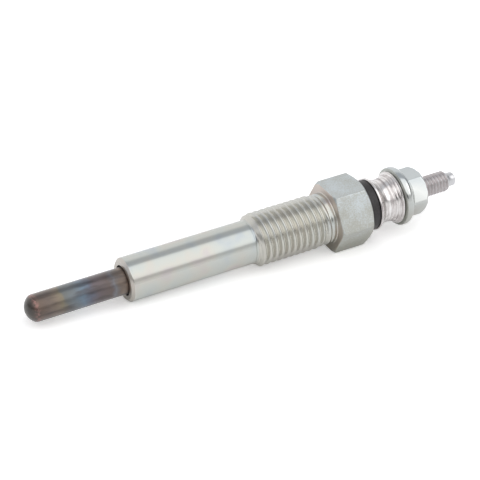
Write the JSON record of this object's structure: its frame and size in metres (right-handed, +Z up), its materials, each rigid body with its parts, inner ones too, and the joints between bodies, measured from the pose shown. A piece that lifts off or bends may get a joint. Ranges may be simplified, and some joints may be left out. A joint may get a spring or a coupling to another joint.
{
  "type": "diesel glow plug",
  "caption": "Diesel glow plug: heat-tinted metal heater tube, zinc-plated housing with mounting thread and wrench hexagon, insulating bush, rolled collar and screw terminal with flange nut.",
  "frame": {"origin": "on the plug's axis, in the plane of the housing's front face", "axes": "+X along the axis from the heater tip to the terminal, +Z up as it lies, square to a flat of the hexagon"},
  "size_m": [0.0881, 0.0138, 0.012],
  "materials": {
    "zinc_plated_steel": "bright zinc plate with a clear chromate film",
    "heat_tinted_alloy": "satin nickel alloy with brown, tan and blue heat tint",
    "coil_wire": "drawn resistance wire",
    "magnesia": "compacted powder",
    "seal_rubber": "moulded, matt",
    "pole_steel": "rolled and plated, dull",
    "bush_plastic": "moulded, matt",
    "rolled_aluminium": "rolled, with fine drawn streaks"
  },
  "bodies": {
    "root": {"housing": "zinc_plated_steel", "heater_sheath": "heat_tinted_alloy", "heating_coil": "coil_wire", "control_coil": "coil_wire", "magnesia_fill": "magnesia", "sheath_seal": "seal_rubber", "centre_pole": "pole_steel", "o_ring": "seal_rubber", "insulating_bush": "bush_plastic", "crimp_collar": "rolled_aluminium", "flange_nut": "zinc_plated_steel"}
  },
  "joints": []
}
